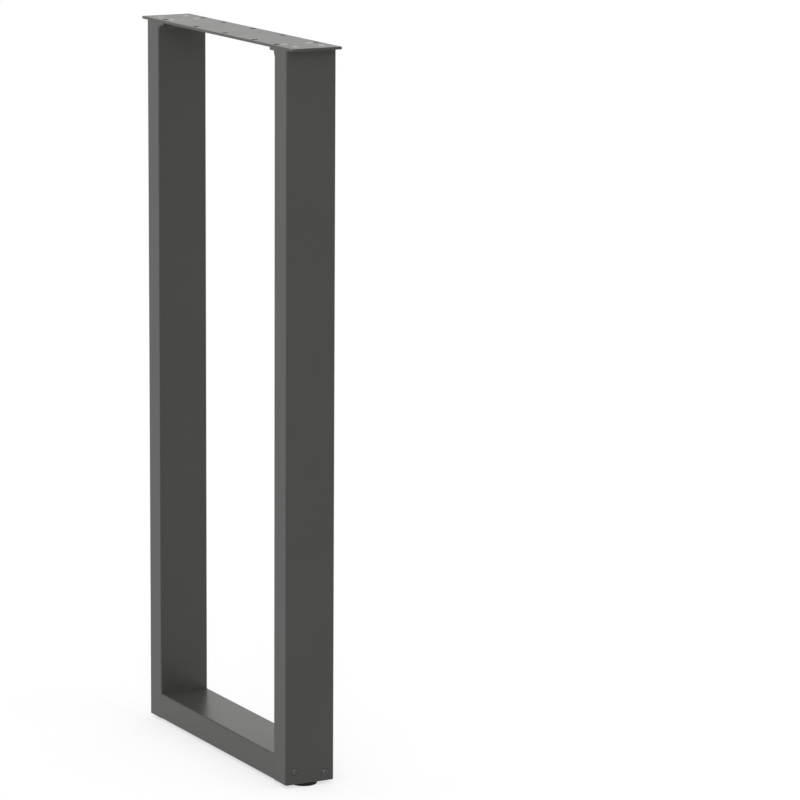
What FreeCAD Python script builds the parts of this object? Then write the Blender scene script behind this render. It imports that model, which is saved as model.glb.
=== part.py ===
import FreeCAD, Part

# U-shaped table leg: two upright tubes and a crossbar of the same tube under a long top plate,
# on two screw feet. Millimetres. The origin is on the floor, midway between the feet; X runs
# along the plate, Y to the back, Z up.

import math
import os
from types import SimpleNamespace

import Sketcher

# Driving dimensions
SIZES = {
    "plate_length": 500,
    "plate_overhang": 18,
    "plate_thickness": 4,
    "plate_corner": 1,
    "plate_edge": 0.5,
    "top_hole": 10,
    "top_hole_edge": 8,
    "top_hole_pitch": 97,
    "top_hole_stagger": 17.5,
    "upright_length": 1087,
    "tube_depth": 80,
    "tube_width": 40,
    "tube_wall": 1.5,
    "tube_bend": 1,
    "tube_end_edge": 1,
    "flange_thickness": 4,
    "flange_lip": 16,
    "weld_throat": 8,
    "weld_end": 0.5,
    "weld_spotface": 13,
    "plate_screw": 5,
    "plate_screw_head": 10,
    "plate_screw_end": 9.5,
    "plate_screw_edge": 19,
    "plate_screw_recess": 0.1,
    "plate_screw_socket": 3,
    "plate_screw_socket_depth": 1.6,
    "bar_cope": 1.8,
    "bar_plate_thickness": 6,
    "bar_screw": 6,
    "bar_screw_edge": 15,
    "bar_screw_drop": 7,
    "bar_screw_tip": 2,
    "bar_screw_head": 12,
    "bar_screw_crown": 3.5,
    "bar_screw_socket": 4,
    "bar_screw_socket_depth": 2.2,
    "sleeve_diameter": 10,
    "base_plate_thickness": 4,
    "nut_flats": 13,
    "nut_height": 6.5,
    "stud": 8,
    "stud_head_flats": 13,
    "stud_head": 3,
    "stud_spare": 1.5,
    "foot_diameter": 40,
    "foot_height": 5,
    "foot_edge": 1,
    "foot_travel": 10,
    "screw_point": 0.6,
    "hole_clearance": 0.2,
    "thread_clearance": 0.05,
    "seat_clearance": 0.05,
    "insert_clearance": 0.1,
}

AXIS_Z = FreeCAD.Vector(0, 0, 1)
START, END, CENTRE = range(1, 4)
SKETCH_X_AXIS, SKETCH_Y_AXIS = range(-1, -3, -1)
SKETCH_ORIGIN = (SKETCH_X_AXIS, START)


class Size:
    """A length in millimetres, with the expression that ties it to the sheet."""

    def __init__(self, value, text):
        self.value = value
        self.text = text

    def __add__(self, other):
        return Size(self.value + other.value, f"({self.text} + {other.text})")

    def __sub__(self, other):
        return Size(self.value - other.value, f"({self.text} - {other.text})")

    def __neg__(self):
        return Size(-self.value, f"(0 - {self.text})")

    def __mul__(self, factor):
        return Size(self.value * factor, f"({self.text} * {factor})")

    __rmul__ = __mul__

    def __truediv__(self, divisor):
        return Size(self.value / divisor, f"({self.text} / {divisor})")


doc = FreeCAD.newDocument("table_leg")
sheet = doc.addObject("Spreadsheet::Sheet", "Sizes")
for row, (alias, number) in enumerate(SIZES.items(), start=1):
    sheet.set(f"A{row}", alias)
    sheet.set(f"B{row}", str(number))
    sheet.setAlias(f"B{row}", alias)
doc.recompute()
size = SimpleNamespace(**{alias: Size(float(sheet.get(alias)), f"Sizes.{alias}") for alias in SIZES})
pieces = []


# Sketches and features, each dimension tied to the sheet
def new_body(label):
    body = doc.addObject("PartDesign::Body", label)
    body.Label = label
    pieces.append(body)
    return body


def origin_feature(body, role):
    return next(feature for feature in body.Origin.OriginFeatures if feature.Role == role)


def attach(feature, body, role, offset=None, across=None, up=None):
    """Lays a feature on a plane of its body's origin, offset along the normal or in the plane."""
    feature.AttachmentSupport = (origin_feature(body, role), [""])
    feature.MapMode = "FlatFace"
    for axis, length in (("x", across), ("y", up), ("z", offset)):
        if length is not None:
            feature.setExpression(f"AttachmentOffset.Base.{axis}", length.text)


def new_sketch(body, name, role, offset=None, across=None, up=None):
    sketch = body.newObject("Sketcher::SketchObject", f"{body.Label}_{name}")
    attach(sketch, body, role, offset, across, up)
    return sketch


def dimension(sketch, kind, elements, length):
    index = sketch.addConstraint(Sketcher.Constraint(kind, *elements, length.value))
    name = f"size_{index}"
    sketch.renameConstraint(index, name)
    sketch.setExpression(f"Constraints.{name}", length.text)


def locate(sketch, point, across, up):
    """Dimensions a point from the sketch's origin; None puts it on that axis."""
    for kind, length, axis in (("DistanceX", across, SKETCH_Y_AXIS), ("DistanceY", up, SKETCH_X_AXIS)):
        if length is None:
            sketch.addConstraint(Sketcher.Constraint("PointOnObject", *point, axis))
        elif length.value < 0:
            dimension(sketch, kind, point + SKETCH_ORIGIN, -length)
        else:
            dimension(sketch, kind, SKETCH_ORIGIN + point, length)


def at(across, up):
    return FreeCAD.Vector(across.value if across else 0, up.value if up else 0, 0)


def circle(sketch, diameter, across=None, up=None):
    index = sketch.addGeometry(Part.Circle(at(across, up), AXIS_Z, diameter.value / 2))
    dimension(sketch, "Diameter", (index,), diameter)
    locate(sketch, (index, CENTRE), across, up)


def chain(sketch, corners):
    """Draws straight lines through the corners, each dimensioned from the origin, and returns the lines."""
    lines = []
    for start, end in zip(corners, corners[1:]):
        lines.append(sketch.addGeometry(Part.LineSegment(at(*start), at(*end))))
        locate(sketch, (lines[-1], START), *start)
    for line, following in zip(lines, lines[1:]):
        sketch.addConstraint(Sketcher.Constraint("Coincident", line, END, following, START))
    locate(sketch, (lines[-1], END), *corners[-1])
    return lines


def polygon(sketch, corners):
    lines = chain(sketch, corners)
    closing = sketch.addGeometry(Part.LineSegment(at(*corners[-1]), at(*corners[0])))
    sketch.addConstraint(Sketcher.Constraint("Coincident", lines[-1], END, closing, START))
    sketch.addConstraint(Sketcher.Constraint("Coincident", closing, END, lines[0], START))


def hexagon(sketch, flats):
    point, half_side, half_flats = flats / math.sqrt(3), flats / math.sqrt(12), flats / 2
    right = [(half_side, -half_flats), (point, None), (half_side, half_flats)]
    left = [(-half_side, half_flats), (-point, None), (-half_side, -half_flats)]
    polygon(sketch, right + left)


def rounded_rectangle(sketch, left, right, down, up, radius):
    """Draws a rectangle by its four distances from the origin, with equal round corners."""
    inner_x = (right - radius, radius - left)
    inner_y = (up - radius, radius - down)
    centres = [(x, inner_y[0]) for x in inner_x] + [(x, inner_y[1]) for x in reversed(inner_x)]
    arcs = []
    for quarter, centre in enumerate(centres):
        ring = Part.Circle(at(*centre), AXIS_Z, radius.value)
        angle = quarter * math.pi / 2
        arcs.append(sketch.addGeometry(Part.ArcOfCircle(ring, angle, angle + math.pi / 2)))
    lines = []
    for first, second in zip(arcs, arcs[1:] + arcs[:1]):
        ends = Part.LineSegment(sketch.getPoint(first, END), sketch.getPoint(second, START))
        lines.append(sketch.addGeometry(ends))
        sketch.addConstraint(Sketcher.Constraint("Tangent", first, END, lines[-1], START))
        sketch.addConstraint(Sketcher.Constraint("Tangent", lines[-1], END, second, START))
    top_line, left_line, bottom_line, right_line = lines
    for line, direction in zip(lines, ("Horizontal", "Vertical", "Horizontal", "Vertical")):
        sketch.addConstraint(Sketcher.Constraint(direction, line))
    for arc in arcs[1:]:
        sketch.addConstraint(Sketcher.Constraint("Equal", arcs[0], arc))
    dimension(sketch, "Radius", (arcs[0],), radius)
    dimension(sketch, "DistanceX", (left_line, START) + SKETCH_ORIGIN, left)
    dimension(sketch, "DistanceX", SKETCH_ORIGIN + (right_line, START), right)
    dimension(sketch, "DistanceY", (bottom_line, START) + SKETCH_ORIGIN, down)
    dimension(sketch, "DistanceY", SKETCH_ORIGIN + (top_line, START), up)


def centred_rectangle(sketch, length, width, radius):
    rounded_rectangle(sketch, length / 2, length / 2, width / 2, width / 2, radius)


def pad(body, sketch, length, side="One side"):
    feature = body.newObject("PartDesign::Pad", f"{sketch.Name}_pad")
    feature.Profile = sketch
    feature.SideType = side
    feature.setExpression("Length", length.text)
    return feature


def cut_through(body, sketch):
    feature = body.newObject("PartDesign::Pocket", f"{sketch.Name}_cut")
    feature.Profile = sketch
    feature.Type = "ThroughAll"
    feature.SideType = "Symmetric"
    return feature


def cut_in(body, sketch, depth, along_normal=False):
    """Cuts a blind pocket, against the sketch's normal unless told to go along it."""
    feature = body.newObject("PartDesign::Pocket", f"{sketch.Name}_cut")
    feature.Profile = sketch
    feature.Reversed = along_normal
    feature.setExpression("Length", depth.text)
    return feature


def revolve(body, sketch, axis):
    feature = body.newObject("PartDesign::Revolution", f"{sketch.Name}_turned")
    feature.Profile = sketch
    feature.ReferenceAxis = (sketch, [axis])
    feature.Angle = 360
    return feature


def cylinder(body, diameter, height):
    feature = body.newObject("PartDesign::AdditiveCylinder", f"{body.Label}_cylinder")
    attach(feature, body, "XY_Plane")
    feature.setExpression("Radius", (diameter / 2).text)
    feature.setExpression("Height", height.text)
    return feature


def round_edges(feature, diameter, height):
    """Names the feature's circular edges of one diameter at one height."""
    doc.recompute()
    names = []
    for index, edge in enumerate(feature.Shape.Edges, start=1):
        if not isinstance(edge.Curve, Part.Circle) or not edge.Closed:
            continue
        same_size = math.isclose(edge.Curve.Radius, diameter.value / 2, abs_tol=1e-6)
        if same_size and math.isclose(edge.Curve.Center.z, height.value, abs_tol=1e-6):
            names.append(f"Edge{index}")
    return names


def dress(body, kind, base, diameter, height, path, length):
    """Chamfers or fillets the circular edges of one diameter at one height."""
    edges = round_edges(base, diameter, height)
    feature = body.newObject(f"PartDesign::{kind}", f"{base.Name}_{kind.lower()}")
    feature.Base = (base, edges)
    feature.setExpression(path, length.text)
    return feature


def round_rim(body, base, height, radius):
    """Rounds the outline of the flat face at one height."""
    doc.recompute()
    for face in base.Shape.Faces:
        if math.isclose(face.CenterOfMass.z, height.value, abs_tol=1e-6):
            rim = face.OuterWire.Edges
    names = []
    for index, edge in enumerate(base.Shape.Edges, start=1):
        if any(edge.isSame(part) for part in rim):
            names.append(f"Edge{index}")
    feature = body.newObject("PartDesign::Fillet", f"{base.Name}_rim")
    feature.Base = (base, names)
    feature.setExpression("Radius", radius.text)


def repeat(body, originals, along, up=None):
    """Repeats features once along each given (axis, distance)."""
    pattern = body.newObject("PartDesign::LinearPattern", f"{body.Label}_repeat")
    pattern.Originals = originals
    pattern.Direction = (origin_feature(body, along[0]), [""])
    pattern.setExpression("Length", along[1].text)
    pattern.Occurrences = 2
    if up is not None:
        pattern.Direction2 = (origin_feature(body, up[0]), [""])
        pattern.setExpression("Length2", up[1].text)
        pattern.Occurrences2 = 2
    body.Tip = pattern


def place(body, side, height, inward=None, forward=None):
    """Stands a piece on an upright's axis, its X towards the middle: the right side is turned half round."""
    turn = FreeCAD.Rotation(AXIS_Z, 180 if side == "right" else 0)
    body.Placement = FreeCAD.Placement(FreeCAD.Vector(), turn)
    body.setExpression("Placement.Base.x", outward(side, inward).text)
    body.setExpression("Placement.Base.z", height.text)
    if forward is not None:
        body.setExpression("Placement.Base.y", (forward if side == "right" else -forward).text)


def outward(side, inward=None):
    """Gives the X of a point on an upright's axis, or of one that lies further in towards the middle."""
    distance = upright_offset if inward is None else upright_offset - inward
    return distance if side == "right" else -distance


# Places shared by several pieces
floor = Size(0.0, "0")
tube_corner = size.tube_bend + size.tube_wall
upright_offset = size.plate_length / 2 - size.plate_overhang - size.tube_width / 2
bar_length = size.plate_length - 2 * size.plate_overhang - 2 * size.tube_width
bar_height = size.foot_height + size.tube_width / 2
flange_height = size.foot_height + size.upright_length
plate_height = flange_height + size.flange_thickness
inner_face = size.tube_width / 2
lip_edge = inner_face + size.flange_lip
lip_middle = inner_face + size.flange_lip / 2
top_hole_row = size.tube_depth / 2 - size.top_hole_edge
plate_screw_row = size.tube_depth / 2 - size.plate_screw_edge
plate_screw_places = (size.plate_screw_end - inner_face, lip_edge - size.plate_screw_end)
bar_screw_row = size.tube_depth / 2 - size.bar_screw_edge
bar_screw_places = ((-bar_screw_row, -size.bar_screw_drop), (bar_screw_row, None))
plate_screw_hole = size.plate_screw + 2 * size.hole_clearance
bar_screw_hole = size.bar_screw + 2 * size.hole_clearance


# Top plate: flat steel, two rows of holes for the tabletop's screws, a countersunk hole for each plate screw
def make_top_plate():
    body = new_body("top_plate")
    outline = new_sketch(body, "outline", "XY_Plane")
    centred_rectangle(outline, size.plate_length, size.tube_depth, size.plate_corner)
    slab = pad(body, outline, size.plate_thickness)
    round_rim(body, slab, size.plate_thickness, size.plate_edge)

    holes = new_sketch(body, "tabletop_holes", "XY_Plane")
    for row, shift in ((-top_hole_row, size.top_hole_stagger), (top_hole_row, -size.top_hole_stagger)):
        for across in (shift - size.top_hole_pitch, shift, shift + size.top_hole_pitch):
            circle(holes, size.top_hole, across, row)
        for side in ("left", "right"):
            circle(holes, size.top_hole, outward(side, lip_middle), row)
    cut_through(body, holes)

    screw_holes = new_sketch(body, "screw_holes", "XY_Plane")
    for side in ("left", "right"):
        for inward in plate_screw_places:
            for row in (-plate_screw_row, plate_screw_row):
                circle(screw_holes, plate_screw_hole, outward(side, inward), row)
    drilled = cut_through(body, screw_holes)
    sink = size.plate_screw_head / 2 + size.plate_screw_recess + size.seat_clearance - plate_screw_hole / 2
    dress(body, "Chamfer", drilled, plate_screw_hole, size.plate_thickness, "Size", sink)
    body.setExpression("Placement.Base.z", plate_height.text)


# Upright: rectangular tube standing on edge, drilled across near the floor for the crossbar's screws
def make_upright(side):
    body = new_body(f"{side}_upright_tube")
    section = new_sketch(body, "section", "XY_Plane")
    centred_rectangle(section, size.tube_width, size.tube_depth, tube_corner)
    hollow_width = size.tube_width - 2 * size.tube_wall
    hollow_depth = size.tube_depth - 2 * size.tube_wall
    centred_rectangle(section, hollow_width, hollow_depth, size.tube_bend)
    length = pad(body, section, size.upright_length)
    round_rim(body, length, floor, size.tube_end_edge)
    holes = new_sketch(body, "bar_screw_holes", "YZ_Plane")
    middle = size.tube_width / 2
    for row, rise in bar_screw_places:
        circle(holes, bar_screw_hole, row, middle + rise if rise else middle)
    cut_through(body, holes)
    place(body, side, size.foot_height)


# Flange: steel plate welded on the upright's head, with a lip towards the middle, tapped for the plate screws
def make_flange(side):
    body = new_body(f"{side}_top_flange")
    outline = new_sketch(body, "outline", "XY_Plane")
    half_depth = size.tube_depth / 2
    rounded_rectangle(outline, inner_face, lip_edge, half_depth, half_depth, tube_corner)
    pad(body, outline, size.flange_thickness)
    holes = new_sketch(body, "holes", "XY_Plane")
    for row in (-top_hole_row, top_hole_row):
        circle(holes, size.top_hole, lip_middle, row)
    for inward in plate_screw_places:
        for row in (-plate_screw_row, plate_screw_row):
            circle(holes, size.plate_screw + 2 * size.thread_clearance, inward, row)
    cut_through(body, holes)
    place(body, side, flange_height)


# Weld: concave fillet under the lip, round at its ends and spot-faced round the lip's holes
def make_flange_weld(side):
    body = new_body(f"{side}_flange_weld")
    profile = new_sketch(body, "profile", "XZ_Plane")
    toe = inner_face + size.weld_throat
    root = inner_face - tube_corner
    corners = [
        (inner_face, -size.weld_throat),
        (root, -size.weld_throat),
        (root, None),
        (toe, None),
    ]
    lines = chain(profile, corners)
    throat = Part.Circle(at(toe, -size.weld_throat), AXIS_Z, size.weld_throat.value)
    arc = profile.addGeometry(Part.ArcOfCircle(throat, math.pi / 2, math.pi))
    profile.addConstraint(Sketcher.Constraint("Coincident", arc, START, lines[-1], END))
    profile.addConstraint(Sketcher.Constraint("Coincident", arc, END, lines[0], START))
    dimension(profile, "Radius", (arc,), size.weld_throat)
    pad(body, profile, size.tube_depth, "Symmetric")
    tube = new_sketch(body, "tube", "XY_Plane")
    centred_rectangle(tube, size.tube_width, size.tube_depth, tube_corner)
    cut_through(body, tube)
    ends = new_sketch(body, "ends", "XY_Plane")
    half_length = size.tube_depth / 2 - size.weld_end
    rounded_rectangle(ends, inner_face, toe, half_length, half_length, size.weld_throat)
    rounded_rectangle(ends, size.tube_width, toe + inner_face, size.tube_depth, size.tube_depth, tube_corner)
    cut_through(body, ends)
    spotfaces = new_sketch(body, "spotfaces", "XY_Plane")
    for row in (-top_hole_row, top_hole_row):
        circle(spotfaces, size.weld_spotface, lip_middle, row)
    cut_through(body, spotfaces)
    place(body, side, flange_height)


# Plate screws: countersunk socket screws, flush in the plate and ending level with the flange's underside
def make_plate_screws(side):
    body = new_body(f"{side}_plate_screws")
    profile = new_sketch(body, "profile", "XZ_Plane")
    shank = size.plate_screw / 2
    cone = size.plate_screw_head / 2 - shank
    tip = size.plate_thickness + size.flange_thickness - size.plate_screw_recess
    corners = [
        (None, None),
        (size.plate_screw_head / 2, None),
        (shank, -cone),
        (shank, size.screw_point - tip),
        (shank - size.screw_point, -tip),
        (None, -tip),
    ]
    polygon(profile, corners)
    turned = revolve(body, profile, "V_Axis")
    key = new_sketch(body, "key", "XY_Plane")
    hexagon(key, size.plate_screw_socket)
    socket = cut_in(body, key, size.plate_screw_socket_depth)
    first, last = plate_screw_places
    repeat(body, [turned, socket], ("X_Axis", last - first), ("Y_Axis", 2 * plate_screw_row))
    head_height = plate_height + size.plate_thickness - size.plate_screw_recess
    place(body, side, head_height, first, plate_screw_row)


# Crossbar: the same tube laid flat between the uprights, its underside level with their feet. Its ends are
# coped to the uprights' rounded corners, so that the faces run on without a groove
def make_crossbar():
    body = new_body("crossbar_tube")
    section = new_sketch(body, "section", "YZ_Plane")
    centred_rectangle(section, size.tube_depth, size.tube_width, tube_corner)
    hollow_depth = size.tube_depth - 2 * size.tube_wall
    hollow_width = size.tube_width - 2 * size.tube_wall
    centred_rectangle(section, hollow_depth, hollow_width, size.tube_bend)
    pad(body, section, bar_length + 2 * size.bar_cope, "Symmetric")
    for side in ("left", "right"):
        upright = new_sketch(body, f"{side}_cope", "XY_Plane", across=outward(side))
        centred_rectangle(upright, size.tube_width, size.tube_depth, tube_corner)
        cut_through(body, upright)
    body.setExpression("Placement.Base.z", bar_height.text)


# Crossbar end plate: steel plate welded flush into the tube's end, tapped for the two screws
def make_bar_end_plate(side):
    body = new_body(f"{side}_bar_end_plate")
    outline = new_sketch(body, "outline", "YZ_Plane")
    play = 2 * size.tube_wall + 2 * size.insert_clearance
    centred_rectangle(outline, size.tube_depth - play, size.tube_width - play, size.tube_bend)
    pad(body, outline, size.bar_plate_thickness)
    holes = new_sketch(body, "holes", "YZ_Plane")
    for row, rise in bar_screw_places:
        circle(holes, size.bar_screw + 2 * size.thread_clearance, row, rise)
    cut_through(body, holes)
    place(body, side, bar_height, inner_face)


# Crossbar screws: domed socket screws from the upright's outer face, through both walls into the end plate
def make_bar_screws(side):
    body = new_body(f"{side}_bar_screws")
    for row, rise in bar_screw_places:
        bar_screw(body, row, rise)
    place(body, side, bar_height, -inner_face)


def bar_screw(body, row, rise):
    profile = new_sketch(body, "profile", "XZ_Plane", -row, up=rise)
    crown = size.bar_screw_crown
    rim = size.bar_screw_head / 2
    shank = size.bar_screw / 2
    tip = size.tube_width + size.bar_plate_thickness + size.bar_screw_tip
    corners = [
        (-crown, None),
        (tip, None),
        (tip, shank - size.screw_point),
        (tip - size.screw_point, shank),
        (None, shank),
        (None, rim),
    ]
    lines = chain(profile, corners)
    dome_radius = (rim.value ** 2 + crown.value ** 2) / (2 * crown.value)
    dome_centre = dome_radius - crown.value
    dome = Part.Circle(FreeCAD.Vector(dome_centre, 0, 0), AXIS_Z, dome_radius)
    arc = profile.addGeometry(Part.ArcOfCircle(dome, math.atan2(rim.value, -dome_centre), math.pi))
    profile.addConstraint(Sketcher.Constraint("Coincident", arc, START, lines[-1], END))
    profile.addConstraint(Sketcher.Constraint("Coincident", arc, END, lines[0], START))
    profile.addConstraint(Sketcher.Constraint("PointOnObject", arc, CENTRE, SKETCH_X_AXIS))
    revolve(body, profile, "H_Axis")
    key = new_sketch(body, "key", "YZ_Plane", -crown, row, rise)
    hexagon(key, size.bar_screw_socket)
    cut_in(body, key, size.bar_screw_socket_depth, along_normal=True)


# Spacer sleeves: steel tubes on the crossbar screws, from wall to wall inside the upright
def make_screw_sleeves(side):
    body = new_body(f"{side}_screw_sleeves")
    rings = new_sketch(body, "rings", "YZ_Plane")
    for row, rise in bar_screw_places:
        circle(rings, size.sleeve_diameter, row, rise)
        circle(rings, bar_screw_hole, row, rise)
    pad(body, rings, size.tube_width - 2 * size.tube_wall, "Symmetric")
    place(body, side, bar_height)


# Base plate: steel plate welded flush into the upright's bottom, with a clear hole for the foot's stud
def make_base_plate(side):
    body = new_body(f"{side}_base_plate")
    outline = new_sketch(body, "outline", "XY_Plane")
    play = 2 * size.tube_wall + 2 * size.insert_clearance
    centred_rectangle(outline, size.tube_width - play, size.tube_depth - play, size.tube_bend)
    pad(body, outline, size.base_plate_thickness)
    hole = new_sketch(body, "hole", "XY_Plane")
    circle(hole, size.stud + 2 * size.hole_clearance)
    cut_through(body, hole)
    place(body, side, size.foot_height)


# Foot nut: hexagon nut welded on the base plate inside the upright
def make_foot_nut(side):
    body = new_body(f"{side}_foot_nut")
    outline = new_sketch(body, "outline", "XY_Plane")
    hexagon(outline, size.nut_flats)
    pad(body, outline, size.nut_height)
    hole = new_sketch(body, "thread", "XY_Plane")
    circle(hole, size.stud + 2 * size.thread_clearance)
    cut_through(body, hole)
    place(body, side, size.foot_height + size.base_plate_thickness)


# Foot stud: threaded stud that stays in the whole nut at full travel, with a thin hexagon head in the pad
def make_foot_stud(side):
    body = new_body(f"{side}_foot_stud")
    length = size.base_plate_thickness + size.nut_height + size.foot_travel + size.stud_spare
    shank = cylinder(body, size.stud, length)
    dress(body, "Chamfer", shank, size.stud, length, "Size", size.screw_point)
    head = new_sketch(body, "head", "XY_Plane", -size.stud_head)
    hexagon(head, size.stud_head_flats)
    pad(body, head, size.stud_head)
    place(body, side, size.foot_height)


# Foot pad: round moulded pad with a rounded sole edge and a hexagon pocket for the stud's head
def make_foot_pad(side):
    body = new_body(f"{side}_foot_pad")
    disc = cylinder(body, size.foot_diameter, size.foot_height)
    dress(body, "Fillet", disc, size.foot_diameter, floor, "Radius", size.foot_edge)
    pocket = new_sketch(body, "pocket", "XY_Plane", size.foot_height)
    hexagon(pocket, size.stud_head_flats + 2 * size.seat_clearance)
    cut_in(body, pocket, size.stud_head)
    place(body, side, floor)


make_top_plate()
make_crossbar()
for side in ("left", "right"):
    make_upright(side)
    make_flange(side)
    make_flange_weld(side)
    make_plate_screws(side)
    make_bar_end_plate(side)
    make_bar_screws(side)
    make_screw_sleeves(side)
    make_base_plate(side)
    make_foot_nut(side)
    make_foot_stud(side)
    make_foot_pad(side)
doc.recompute()

# Every feature has to be sound, and every cut has to take something away, before any piece is written
for item in doc.Objects:
    if "Invalid" in item.State or "Error" in item.State:
        raise RuntimeError(f"{item.Label} failed: {item.State}")
    if item.TypeId in ("PartDesign::Pocket", "PartDesign::Chamfer", "PartDesign::Fillet"):
        if item.Shape.Volume >= item.BaseFeature.Shape.Volume:
            raise RuntimeError(f"{item.Label} takes nothing away")
for piece in pieces:
    if piece.Shape.isNull() or not piece.Shape.isValid():
        raise RuntimeError(f"{piece.Label} has no valid shape")

os.makedirs("parts", exist_ok=True)
for piece in pieces:
    piece.Shape.exportStep(os.path.join("parts", f"{piece.Label}.step"))
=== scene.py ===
import math

import bmesh
import bpy
from mathutils import Matrix, Vector


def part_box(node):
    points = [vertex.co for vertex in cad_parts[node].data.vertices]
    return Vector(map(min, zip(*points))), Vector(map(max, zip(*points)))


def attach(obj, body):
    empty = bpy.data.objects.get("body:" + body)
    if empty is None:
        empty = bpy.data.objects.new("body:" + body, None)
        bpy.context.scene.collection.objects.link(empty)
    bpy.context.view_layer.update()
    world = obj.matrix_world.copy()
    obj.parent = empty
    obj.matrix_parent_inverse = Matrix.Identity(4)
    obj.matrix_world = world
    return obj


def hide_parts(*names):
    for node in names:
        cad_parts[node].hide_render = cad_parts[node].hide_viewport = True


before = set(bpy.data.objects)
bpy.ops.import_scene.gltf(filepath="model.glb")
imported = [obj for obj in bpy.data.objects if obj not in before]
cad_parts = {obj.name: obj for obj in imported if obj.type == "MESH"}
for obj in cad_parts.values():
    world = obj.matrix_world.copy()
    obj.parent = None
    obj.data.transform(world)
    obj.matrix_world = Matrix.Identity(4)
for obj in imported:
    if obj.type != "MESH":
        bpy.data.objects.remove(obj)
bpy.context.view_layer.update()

# Uprights: two cold-formed rectangular steel tubes, 80 by 40 mm, standing on edge.
# Each is drilled across near the floor, rounded at its cut foot and coated after welding.


def srgb(code):
    """Gives the linear colour of an sRGB hex code."""
    shares = [int(code[place:place + 2], 16) / 255 for place in (1, 3, 5)]
    return [s / 12.92 if s <= 0.04045 else ((s + 0.055) / 1.055) ** 2.4 for s in shares] + [1.0]


def add_node(tree, kind, inputs=None, **settings):
    """Adds a node; each input, by name or number, takes a value or the socket that feeds it."""
    node = tree.nodes.new(kind)
    for name, value in settings.items():
        setattr(node, name, value)
    for key, value in (inputs or {}).items():
        if isinstance(value, bpy.types.NodeSocket):
            tree.links.new(value, node.inputs[key])
        else:
            node.inputs[key].default_value = value
    return node


def new_material(name):
    """Gives an empty material and its node tree."""
    material = bpy.data.materials.new(name)
    material.use_nodes = True
    material.node_tree.nodes.clear()
    return material, material.node_tree


# The span that a noise pattern mostly keeps to.
NOISE_LOW = 0.3
NOISE_HIGH = 0.7


def uneven_finish(tree, tone_by, gloss_by, tones, roughness):
    """Gives the colour and the roughness of a finish that drifts between two tones and two glosses."""
    tone = add_node(
        tree,
        "ShaderNodeMix",
        {0: tone_by, 6: srgb(tones[0]), 7: srgb(tones[1])},
        data_type="RGBA",
    )
    gloss = add_node(
        tree,
        "ShaderNodeMapRange",
        {0: gloss_by, 1: NOISE_LOW, 2: NOISE_HIGH, 3: roughness[0], 4: roughness[1]},
    )
    return tone.outputs[2], gloss.outputs[0]


def coat_nodes(names, material):
    """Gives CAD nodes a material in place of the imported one."""
    for name in names:
        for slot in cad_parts[name].material_slots:
            slot.material = material


# Polyester powder coat, sprayed and baked on steel: a satin dark grey film with the soft waves of orange
# peel, a little uneven in thickness, which shows as a slow drift of tone and gloss along the tubes.
# The peel's waves and the coat's grain are finer in life; they are drawn this coarse so that they show.
PEEL_WAVE = 0.004
PEEL_HEIGHT = 0.000012
FILM_DRIFT = 0.11
COAT_GRAIN = 0.0011
GRAIN_SHARE = 0.35

powder_coat, tree = new_material("polyester_powder_coat_satin")
place = add_node(tree, "ShaderNodeTexCoord").outputs["Object"]
drift = add_node(tree, "ShaderNodeTexNoise", {"Vector": place, "Scale": 1 / FILM_DRIFT, "Detail": 3.0})
grain = add_node(tree, "ShaderNodeTexNoise", {"Vector": place, "Scale": 1 / COAT_GRAIN, "Detail": 1.0})
speck = add_node(tree, "ShaderNodeMath", {0: grain.outputs[0], 1: GRAIN_SHARE}, operation="MULTIPLY")
shade = add_node(tree, "ShaderNodeMath", {0: drift.outputs[0], 1: speck.outputs[0]}, operation="ADD")
tone, gloss = uneven_finish(
    tree, shade.outputs[0], drift.outputs[0], tones=("#3F403C", "#474843"), roughness=(0.31, 0.35)
)
peel = add_node(tree, "ShaderNodeTexNoise", {"Vector": place, "Scale": 1 / PEEL_WAVE, "Detail": 1.0})
relief = add_node(
    tree,
    "ShaderNodeBump",
    {"Height": peel.outputs[0], "Distance": PEEL_HEIGHT, "Strength": 1.0},
)
film = add_node(
    tree,
    "ShaderNodeBsdfPrincipled",
    {"Base Color": tone, "Roughness": gloss, "IOR": 1.42, "Normal": relief.outputs[0]},
)
add_node(tree, "ShaderNodeOutputMaterial", {"Surface": film.outputs[0]})

coat_nodes(("left_upright_tube", "right_upright_tube"), powder_coat)


# Base plates and foot nuts: a steel plate welded flush into the foot of each upright,
# with a zinc plated hexagon nut on its inner side that takes the stud of the foot.

# Bright zinc plate on turned or pressed steel: a bluish silver whose gloss is a little cloudy.
PLATE_CLOUD = 0.003

zinc_plate, tree = new_material("zinc_plated_steel_bright")
place = add_node(tree, "ShaderNodeTexCoord").outputs["Object"]
cloud = add_node(tree, "ShaderNodeTexNoise", {"Vector": place, "Scale": 1 / PLATE_CLOUD, "Detail": 3.0})
tone, gloss = uneven_finish(
    tree, cloud.outputs[0], cloud.outputs[0], tones=("#C4C6C8", "#DADBDA"), roughness=(0.24, 0.36)
)
metal = add_node(
    tree, "ShaderNodeBsdfPrincipled", {"Base Color": tone, "Metallic": 1.0, "Roughness": gloss}
)
add_node(tree, "ShaderNodeOutputMaterial", {"Surface": metal.outputs[0]})

coat_nodes(("left_base_plate", "right_base_plate"), powder_coat)
coat_nodes(("left_foot_nut", "right_foot_nut"), zinc_plate)


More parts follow.
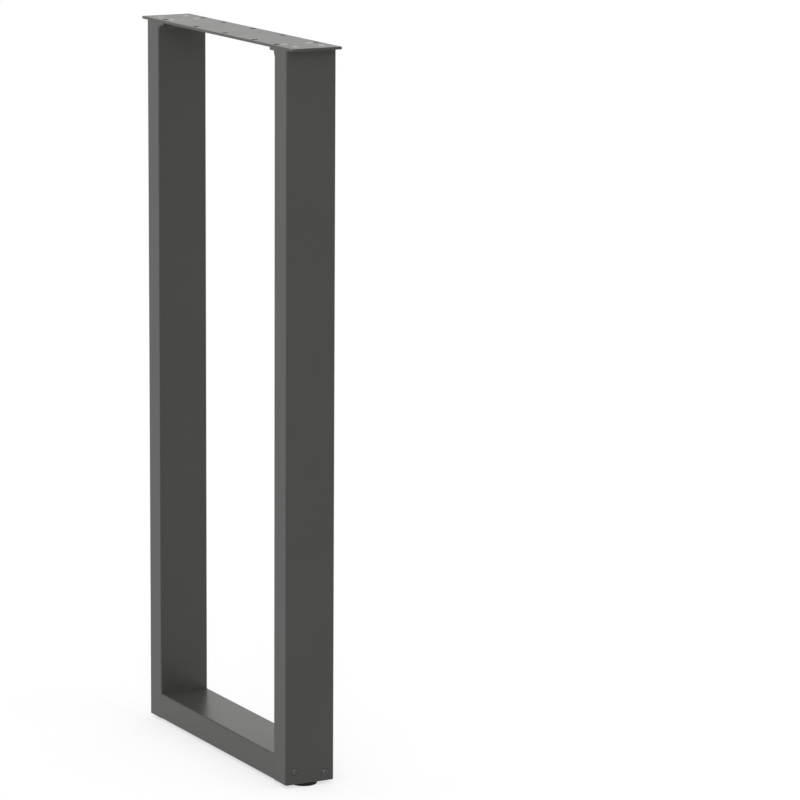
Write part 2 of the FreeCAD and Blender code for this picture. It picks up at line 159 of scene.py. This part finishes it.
# Flanges and welds: a steel plate on the head of each upright, with a lip towards the middle, and a
# hand-run weld bead under the lip, coated with the rest. The bead keeps the ripples of its setting pools,
# apart from where it is spot-faced for the heads of the tabletop's screws.
RIPPLE_PITCH = 0.0024
RIPPLE_HEIGHT = 0.00018
RIPPLE_BOW = 0.0016
CUT_PITCH = 0.0004
CUT_SNAP = 0.0000001
FACET_SAG = 0.0001
MERGE_REACH = 0.000002
SPOTFACE_ROW = 0.032
SPOTFACE_RADIUS = 0.0065
SPOTFACE_BLEND = 0.002

coat_nodes(("left_top_flange", "right_top_flange"), powder_coat)


def add_piece(name, mesh, body, node):
    """Puts a finished mesh in the scene, riding on a body in place of a CAD node."""
    piece = bpy.data.objects.new(name, mesh)
    bpy.context.scene.collection.objects.link(piece)
    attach(piece, body)
    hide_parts(node)


def weld_bead(side):
    """Copies a plain weld and works the ripples of the bead into its hollow face."""
    node = f"{side}_flange_weld"
    low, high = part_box(node)
    tube_low, tube_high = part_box(f"{side}_upright_tube")
    if side == "left":
        way, face_x, toe_x = 1, tube_high.x, high.x
    else:
        way, face_x, toe_x = -1, tube_low.x, low.x
    leg = abs(toe_x - face_x)
    centre_x = face_x + way * leg
    centre_z = high.z - leg
    shape = bmesh.new()
    shape.from_mesh(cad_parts[node].data)
    bmesh.ops.remove_doubles(shape, verts=shape.verts, dist=MERGE_REACH)
    # Cuts across the bead give the ripples points to stand on.
    for cut in range(1, int((high.y - low.y) / CUT_PITCH)):
        everything = list(shape.verts) + list(shape.edges) + list(shape.faces)
        spot = (0, low.y + cut * CUT_PITCH, 0)
        bmesh.ops.bisect_plane(shape, geom=everything, plane_co=spot, plane_no=(0, 1, 0), dist=CUT_SNAP)
    # Each point of the hollow face goes on its arc, raised by a ripple that fades out at the arc's ends
    # and at the spot-faces.
    hollow = set()
    for point in shape.verts:
        arm = Vector(((point.co.x - centre_x) * -way, point.co.z - centre_z))
        if not -FACET_SAG < arm.length - leg < MERGE_REACH or arm.x < 0 or arm.y < 0:
            continue
        across = math.atan2(arm.y, arm.x) / (math.pi / 2)
        swell = math.sin(math.pi * across)
        phase = (point.co.y - RIPPLE_BOW * swell) / RIPPLE_PITCH
        off_hole = math.hypot(point.co.x - centre_x, abs(point.co.y) - SPOTFACE_ROW) - SPOTFACE_RADIUS
        blend = min(max(off_hole / SPOTFACE_BLEND, 0), 1)
        lift = RIPPLE_HEIGHT * swell * blend * (0.5 + 0.5 * math.cos(math.tau * phase))
        spot = arm.normalized() * (leg - lift)
        point.co.x = centre_x - way * spot.x
        point.co.z = centre_z + spot.y
        hollow.add(point)
    for face in shape.faces:
        face.smooth = hollow.issuperset(face.verts)
    bmesh.ops.remove_doubles(shape, verts=shape.verts, dist=MERGE_REACH)
    mesh = bpy.data.meshes.new(f"{side}_weld_bead")
    shape.to_mesh(mesh)
    shape.free()
    mesh.materials.clear()
    mesh.materials.append(powder_coat)
    add_piece(f"{side}_weld_bead", mesh, "frame", node)


for side in ("left", "right"):
    weld_bead(side)


# Crossbar: the same tube laid flat between the uprights, level with their feet.
# A plate welded flush into each end is tapped for the two screws that hold it.
coat_nodes(("crossbar_tube", "left_bar_end_plate", "right_bar_end_plate"), powder_coat)


# Crossbar screws: domed socket screws of blackened steel, two through the outer face of each upright.
# Each passes a plain steel sleeve inside the tube and draws the crossbar's end plate against the upright.
RING_POINTS = 48
HEXAGON = math.pi / 3
TURNED_CREASE = math.radians(35)


def ring_stack(name, rings):
    """Makes a closed turned mesh from rings of radius, height and roundness, from one pole to the other.

    A ring of roundness 1 is a circle, and one of roundness 0 is a hexagon whose flats are at that radius.
    """
    shape = bmesh.new()
    rows = []
    for radius, height, roundness in rings:
        row = []
        for step in range(RING_POINTS):
            angle = math.tau * step / RING_POINTS
            corner = radius / math.cos(angle % HEXAGON - HEXAGON / 2)
            reach = radius * roundness + corner * (1 - roundness)
            row.append(shape.verts.new((reach * math.cos(angle), reach * math.sin(angle), height)))
        rows.append(row)
    for lower, upper in zip(rows, rows[1:]):
        for step in range(RING_POINTS):
            after = (step + 1) % RING_POINTS
            shape.faces.new((lower[step], lower[after], upper[after], upper[step]))
    for row, height in ((rows[0], rings[0][1]), (rows[-1], rings[-1][1])):
        pole = shape.verts.new((0, 0, height))
        for step in range(RING_POINTS):
            shape.faces.new((row[step], row[(step + 1) % RING_POINTS], pole))
    bmesh.ops.recalc_face_normals(shape, faces=shape.faces)
    mesh = bpy.data.meshes.new(name)
    shape.to_mesh(mesh)
    shape.free()
    mesh.shade_smooth()
    mesh.set_sharp_from_angle(angle=TURNED_CREASE)
    return mesh


# One tree sets a screw on each given point, its socket turned as it was left when the screw was tight.
screw_set = bpy.data.node_groups.new("screw_set", "GeometryNodeTree")
screw_set.interface.new_socket("Geometry", in_out="OUTPUT", socket_type="NodeSocketGeometry")
for name, kind in (
    ("Places", "Geometry"),
    ("Screw", "Object"),
    ("Most turn", "Float"),
    ("Seed", "Int"),
    ("Finish", "Material"),
):
    screw_set.interface.new_socket(name, in_out="INPUT", socket_type=f"NodeSocket{kind}")
given = add_node(screw_set, "NodeGroupInput").outputs
one_screw = add_node(screw_set, "GeometryNodeObjectInfo", {"Object": given["Screw"]})
turn = add_node(screw_set, "FunctionNodeRandomValue", {3: given["Most turn"], "Seed": given["Seed"]})
facing = add_node(screw_set, "ShaderNodeCombineXYZ", {"Z": turn.outputs[1]})
screws = add_node(
    screw_set,
    "GeometryNodeInstanceOnPoints",
    {
        "Points": given["Places"],
        "Instance": one_screw.outputs["Geometry"],
        "Rotation": facing.outputs[0],
    },
)
solid = add_node(screw_set, "GeometryNodeRealizeInstances", {"Geometry": screws.outputs[0]})
finished = add_node(
    screw_set, "GeometryNodeSetMaterial", {"Geometry": solid.outputs[0], "Material": given["Finish"]}
)
add_node(screw_set, "NodeGroupOutput", {0: finished.outputs[0]})


def grown(name, tree, values, places=()):
    """Runs a Geometry Nodes tree with its named inputs set and gives the result as a plain mesh."""
    start = bpy.data.meshes.new(f"{name}_start")
    start.from_pydata(places, [], [])
    holder = bpy.data.objects.new(f"{name}_holder", start)
    bpy.context.scene.collection.objects.link(holder)
    modifier = holder.modifiers.new("grow", "NODES")
    modifier.node_group = tree
    for item in tree.interface.items_tree:
        if item.in_out == "INPUT" and item.name in values:
            modifier[item.identifier] = values[item.name]
    graph = bpy.context.evaluated_depsgraph_get()
    mesh = bpy.data.meshes.new_from_object(holder.evaluated_get(graph), depsgraph=graph)
    mesh.name = name
    holder.modifiers.remove(modifier)
    bpy.data.objects.remove(holder)
    return mesh


def set_screws(name, screw, places, facing, seed, finish, node):
    """Puts screws at places on the plane that facing turns, on the frame in place of the CAD node."""
    master = bpy.data.objects.new(f"{name}_master", screw)
    bpy.context.scene.collection.objects.link(master)
    values = {"Screw": master, "Most turn": HEXAGON, "Seed": seed, "Finish": finish}
    mesh = grown(name, screw_set, values, places)
    bpy.data.objects.remove(master)
    mesh.transform(facing)
    add_piece(name, mesh, "frame", node)


# Blackened steel with an oiled finish: a thin film of iron oxide, denser than paint, that leaves the dome
# near black with a clear small highlight and the socket dark.
BLACK_CLOUD = 0.004

black_steel, tree = new_material("blackened_steel_oiled")
place = add_node(tree, "ShaderNodeTexCoord").outputs["Object"]
cloud = add_node(tree, "ShaderNodeTexNoise", {"Vector": place, "Scale": 1 / BLACK_CLOUD, "Detail": 2.0})
tone, gloss = uneven_finish(
    tree, cloud.outputs[0], cloud.outputs[0], tones=("#0B0B0B", "#121212"), roughness=(0.18, 0.24)
)
skin = add_node(tree, "ShaderNodeBsdfPrincipled", {"Base Color": tone, "Roughness": gloss, "IOR": 1.75})
add_node(tree, "ShaderNodeOutputMaterial", {"Surface": skin.outputs[0]})

DOME_RADIUS = 0.006
DOME_HEIGHT = 0.0035
DOME_STEPS = 8
DOME_SOCKET = 0.002
DOME_SOCKET_DEPTH = 0.0022
DOME_SOCKET_POINT = 0.0004
DOME_SHANK = 0.003
DOME_SEED = 3
SCREW_POINT = 0.0006
SOCKET_EDGE = 0.0002
RIM_EDGE = 0.0003
RIM_BREAK = 0.3 * RIM_EDGE

dome_ball = (DOME_RADIUS**2 + DOME_HEIGHT**2) / (2 * DOME_HEIGHT)
dome_start = DOME_RADIUS - RIM_EDGE
socket_mouth = DOME_SOCKET / math.cos(HEXAGON / 2) + SOCKET_EDGE
low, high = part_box("left_bar_screws")
wall_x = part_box("left_upright_tube")[0].x
shank_end = wall_x - high.x


def dome(radius):
    """Gives the dome's height above its seat at a radius."""
    return math.sqrt(dome_ball**2 - radius**2) - dome_ball + DOME_HEIGHT


rings = [
    (DOME_SHANK - SCREW_POINT, shank_end, 1),
    (DOME_SHANK, shank_end + SCREW_POINT, 1),
    (DOME_SHANK, 0.0, 1),
    (DOME_RADIUS - RIM_EDGE, 0.0, 1),
    (DOME_RADIUS - RIM_BREAK, RIM_BREAK, 1),
]
for step in range(DOME_STEPS + 1):
    radius = dome_start - (dome_start - socket_mouth) * step / DOME_STEPS
    rings.append((radius, dome(radius), 1))
rings += [
    (DOME_SOCKET, dome(socket_mouth) - SOCKET_EDGE, 0),
    (DOME_SOCKET, DOME_HEIGHT - DOME_SOCKET_DEPTH, 0),
    (DOME_SOCKET / 2, DOME_HEIGHT - DOME_SOCKET_DEPTH - DOME_SOCKET_POINT, 1),
]
# The places lie flat here, and the plane is then turned up against the upright's outer face.
for side, turn in (("left", -1), ("right", 1)):
    low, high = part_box(f"{side}_bar_screws")
    row = high.y - DOME_RADIUS
    low_screw = low.z + DOME_RADIUS
    high_screw = high.z - DOME_RADIUS
    set_screws(
        f"{side}_dome_screws",
        ring_stack("dome_screw", rings),
        [(-turn * low_screw, turn * row, 0), (-turn * high_screw, -turn * row, 0)],
        Matrix.Translation((-turn * wall_x, 0, 0)) @ Matrix.Rotation(turn * math.pi / 2, 4, "Y"),
        DOME_SEED,
        black_steel,
        f"{side}_bar_screws",
    )
coat_nodes(("left_screw_sleeves", "right_screw_sleeves"), zinc_plate)


# Top plate: flat steel bar, 500 by 80 by 4 mm, drilled in two staggered rows for the tabletop's screws
# and countersunk for the screws that hold it on the flanges. Its upper edge is broken before coating.
coat_nodes(("top_plate",), powder_coat)


# Plate screws: bright zinc plated socket screws with flat countersunk heads, four to each flange,
# set just below the face of the plate so that the tabletop lies flat on it.
FLAT_RADIUS = 0.005
FLAT_SHANK = 0.0025
FLAT_SOCKET = 0.0015
FLAT_SOCKET_DEPTH = 0.0016
FLAT_SOCKET_POINT = 0.0003
FLAT_RIM = 0.00015
FLAT_SEED = 5

low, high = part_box("left_plate_screws")
flat_end = low.z - high.z
socket_mouth = FLAT_SOCKET / math.cos(HEXAGON / 2) + SOCKET_EDGE
# The three rings from the end of the cone to the face round the rim off.
rings = [
    (FLAT_SHANK - SCREW_POINT, flat_end, 1),
    (FLAT_SHANK, flat_end + SCREW_POINT, 1),
    (FLAT_SHANK, FLAT_SHANK - FLAT_RADIUS, 1),
    (FLAT_RADIUS - FLAT_RIM, -FLAT_RIM, 1),
    (FLAT_RADIUS - FLAT_RIM * 1.2, -FLAT_RIM * 0.35, 1),
    (FLAT_RADIUS - FLAT_RIM * 2, 0.0, 1),
    (socket_mouth, 0.0, 1),
    (FLAT_SOCKET, -SOCKET_EDGE, 0),
    (FLAT_SOCKET, -FLAT_SOCKET_DEPTH, 0),
    (FLAT_SOCKET / 2, -FLAT_SOCKET_DEPTH - FLAT_SOCKET_POINT, 1),
]
for side in ("left", "right"):
    low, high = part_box(f"{side}_plate_screws")
    columns = (low.x + FLAT_RADIUS, high.x - FLAT_RADIUS)
    rows = (low.y + FLAT_RADIUS, high.y - FLAT_RADIUS)
    set_screws(
        f"{side}_flat_screws",
        ring_stack("flat_screw", rings),
        [(x, y, 0) for x in columns for y in rows],
        Matrix.Translation((0, 0, high.z)),
        FLAT_SEED,
        zinc_plate,
        f"{side}_plate_screws",
    )


# Foot studs: zinc plated M8 studs with a rolled thread and a thin hexagon head held in the foot.
# They turn in the nut of the upright to set the foot's height.
STUD_RADIUS = 0.004
THREAD_PITCH = 0.00125
THREAD_RIDGE = 0.0006
THREAD_CREASE = math.radians(50)
RIDGE_FLANKS = 4
TURN_POINTS = 32

# One tree winds a ridge round a plain core; its named inputs are the thread's sizes.
thread = bpy.data.node_groups.new("rolled_thread", "GeometryNodeTree")
thread.interface.new_socket("Geometry", in_out="OUTPUT", socket_type="NodeSocketGeometry")
for name, kind in (
    ("Core radius", "Float"),
    ("Length", "Float"),
    ("Ridge radius", "Float"),
    ("Ridge turns", "Float"),
    ("Ridge rise", "Float"),
    ("Ridge start", "Vector"),
    ("Finish", "Material"),
):
    thread.interface.new_socket(name, in_out="INPUT", socket_type=f"NodeSocket{kind}")
given = add_node(thread, "NodeGroupInput").outputs
core = add_node(
    thread,
    "GeometryNodeMeshCylinder",
    {"Vertices": RING_POINTS, "Radius": given["Core radius"], "Depth": given["Length"]},
)
helix = add_node(
    thread,
    "GeometryNodeCurveSpiral",
    {
        "Resolution": TURN_POINTS,
        "Rotations": given["Ridge turns"],
        "Start Radius": given["Core radius"],
        "End Radius": given["Core radius"],
        "Height": given["Ridge rise"],
    },
)
upright = add_node(thread, "GeometryNodeSetCurveNormal", {"Curve": helix.outputs[0]}, mode="Z_UP")
flanks = add_node(
    thread,
    "GeometryNodeCurvePrimitiveCircle",
    {"Resolution": RIDGE_FLANKS, "Radius": given["Ridge radius"]},
)
ridge = add_node(
    thread,
    "GeometryNodeCurveToMesh",
    {"Curve": upright.outputs[0], "Profile Curve": flanks.outputs[0], "Fill Caps": True},
)
lowered = add_node(
    thread,
    "GeometryNodeTransform",
    {"Geometry": ridge.outputs[0], "Translation": given["Ridge start"]},
)
joined = add_node(thread, "GeometryNodeJoinGeometry", {0: core.outputs[0]})
thread.links.new(lowered.outputs[0], joined.inputs[0])
solid = add_node(thread, "GeometryNodeRealizeInstances", {"Geometry": joined.outputs[0]})
finished = add_node(
    thread, "GeometryNodeSetMaterial", {"Geometry": solid.outputs[0], "Material": given["Finish"]}
)
add_node(thread, "NodeGroupOutput", {0: finished.outputs[0]})

HEAD_HEIGHT = 0.003
HEAD_FLATS = 0.0065
HEAD_EDGE = 0.0003

for side in ("left", "right"):
    node = f"{side}_foot_stud"
    low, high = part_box(node)
    length = high.z - low.z - HEAD_HEIGHT
    rise = length - 2 * THREAD_PITCH
    values = {
        "Core radius": STUD_RADIUS - THREAD_RIDGE,
        "Length": length,
        "Ridge radius": THREAD_RIDGE,
        "Ridge turns": rise / THREAD_PITCH,
        "Ridge rise": rise,
        "Ridge start": (0, 0, -rise / 2),
        "Finish": zinc_plate,
    }
    mesh = grown(f"{side}_threaded_stud", thread, values)
    head = ring_stack(
        "stud_head",
        [
            (HEAD_FLATS - HEAD_EDGE, -HEAD_HEIGHT - length / 2, 0),
            (HEAD_FLATS, HEAD_EDGE - HEAD_HEIGHT - length / 2, 0),
            (HEAD_FLATS, -HEAD_EDGE - length / 2, 0),
            (HEAD_FLATS - HEAD_EDGE, -length / 2, 0),
        ],
    )
    shape = bmesh.new()
    shape.from_mesh(mesh)
    shape.from_mesh(head)
    bmesh.ops.recalc_face_normals(shape, faces=shape.faces)
    shape.to_mesh(mesh)
    shape.free()
    mesh.shade_smooth()
    mesh.set_sharp_from_angle(angle=THREAD_CREASE)
    middle = (low + high) / 2
    mesh.transform(Matrix.Translation((middle.x, middle.y, high.z - length / 2)))
    add_piece(f"{side}_threaded_stud", mesh, f"{side}_foot", node)


# Feet: round pads of black polyamide, 40 mm across, moulded with a rounded sole edge
# and a hexagon pocket that the stud's head is pressed into.

# Black polyamide, moulded in an eroded tool: matt and finely pebbled, a little greyer where it is scuffed.
TOOL_GRAIN = 0.0008
PEBBLE_HEIGHT = 0.00004
SCUFF = 0.006

black_polyamide, tree = new_material("moulded_black_polyamide")
place = add_node(tree, "ShaderNodeTexCoord").outputs["Object"]
pebble = add_node(tree, "ShaderNodeTexNoise", {"Vector": place, "Scale": 1 / TOOL_GRAIN, "Detail": 2.0})
scuff = add_node(tree, "ShaderNodeTexNoise", {"Vector": place, "Scale": 1 / SCUFF, "Detail": 4.0})
tone, gloss = uneven_finish(
    tree, scuff.outputs[0], scuff.outputs[0], tones=("#050505", "#0C0C0C"), roughness=(0.5, 0.62)
)
relief = add_node(
    tree,
    "ShaderNodeBump",
    {"Height": pebble.outputs[0], "Distance": PEBBLE_HEIGHT, "Strength": 1.0},
)
plastic = add_node(
    tree,
    "ShaderNodeBsdfPrincipled",
    {
        "Base Color": tone,
        "Roughness": gloss,
        "IOR": 1.53,
        "Specular IOR Level": 0.2,
        "Normal": relief.outputs[0],
    },
)
add_node(tree, "ShaderNodeOutputMaterial", {"Surface": plastic.outputs[0]})

coat_nodes(("left_foot_pad", "right_foot_pad"), black_polyamide)


# Studio: a pale floor that runs out into white surroundings, a soft lamp above the camera's shoulder
# and a small one close to the front, a little above the leg, that lets the front faces fade downwards.
# The floor takes the shadow of the leg; to the eye and in reflections it is white like the room.
FLOOR_REACH = 60.0
FLOOR_POINTS = 64
FLOOR_GAP = 0.0001
FLOOR_LIFT = 0.67
ROOM_LIGHT = 0.87

# Each lamp's place, aim, width in metres, power in watts and spread in degrees.
LAMPS = {
    "shoulder_lamp": (Vector((4.0, -2.0, 3.1)), Vector((0, 0, 0.55)), 1.0, 24.0, 180),
    "front_lamp": (Vector((-0.5, -1.5, 1.7)), Vector((0, 0, 1.2)), 0.5, 0.8, 50),
}


def seen_share(tree):
    """Gives 1 where the eye, a reflection or glass sees the surface and 0 where it only lights others."""
    path = add_node(tree, "ShaderNodeLightPath").outputs
    seen = path["Is Camera Ray"]
    for ray in ("Is Glossy Ray", "Is Transmission Ray"):
        either = add_node(tree, "ShaderNodeMath", {0: seen, 1: path[ray]}, operation="MAXIMUM")
        seen = either.outputs[0]
    return seen


floor_paint, tree = new_material("white_studio_floor")
lift = add_node(tree, "ShaderNodeMath", {0: seen_share(tree), 1: FLOOR_LIFT}, operation="MULTIPLY")
matt = add_node(tree, "ShaderNodeBsdfDiffuse", {"Color": srgb("#A6A6A6")})
glow = add_node(tree, "ShaderNodeEmission", {"Color": srgb("#FFFFFF"), "Strength": lift.outputs[0]})
both = add_node(tree, "ShaderNodeAddShader", {0: matt.outputs[0], 1: glow.outputs[0]})
add_node(tree, "ShaderNodeOutputMaterial", {"Surface": both.outputs[0]})

bpy.ops.mesh.primitive_circle_add(vertices=FLOOR_POINTS, radius=FLOOR_REACH, fill_type="NGON")
floor = bpy.context.active_object
floor.name = "studio_floor"
floor.location.z = -FLOOR_GAP
floor.data.materials.append(floor_paint)

room = bpy.data.worlds.new("white_room")
bpy.context.scene.world = room
room.use_nodes = True
tree = room.node_tree
tree.nodes.clear()
level = add_node(tree, "ShaderNodeMapRange", {0: seen_share(tree), 1: 0.0, 2: 1.0, 3: ROOM_LIGHT, 4: 1.0})
air = add_node(tree, "ShaderNodeBackground", {"Color": srgb("#FFFFFF"), "Strength": level.outputs[0]})
add_node(tree, "ShaderNodeOutputWorld", {"Surface": air.outputs[0]})

for name, (spot, aim, size, power, spread) in LAMPS.items():
    lamp = bpy.data.objects.new(name, bpy.data.lights.new(name, "AREA"))
    lamp.data.size = size
    lamp.data.energy = power
    lamp.data.spread = math.radians(spread)
    lamp.location = spot
    lamp.rotation_euler = (aim - spot).to_track_quat("-Z", "Y").to_euler()
    bpy.context.scene.collection.objects.link(lamp)


# Camera: a long lens, level with a standing eye, so that the uprights stay almost parallel.
CAMERA_PLACE = Vector((5.7046, -2.8618, 1.7976))
CAMERA_TURN = math.radians(61.187)
CAMERA_TILT = math.radians(78.883)
CAMERA_ROLL = math.radians(0.374)
LENS = 194.3
SENSOR = 36.0
NEAREST = 0.1
FARTHEST = 200.0

camera = bpy.data.objects.new("camera", bpy.data.cameras.new("camera"))
camera.data.sensor_width = SENSOR
camera.data.lens = LENS
camera.data.clip_start = NEAREST
camera.data.clip_end = FARTHEST
camera.matrix_world = (
    Matrix.Translation(CAMERA_PLACE)
    @ Matrix.Rotation(CAMERA_TURN, 4, "Z")
    @ Matrix.Rotation(CAMERA_TILT, 4, "X")
    @ Matrix.Rotation(CAMERA_ROLL, 4, "Z")
)
bpy.context.scene.collection.objects.link(camera)
bpy.context.scene.camera = camera
bpy.context.scene.view_settings.view_transform = "Standard"
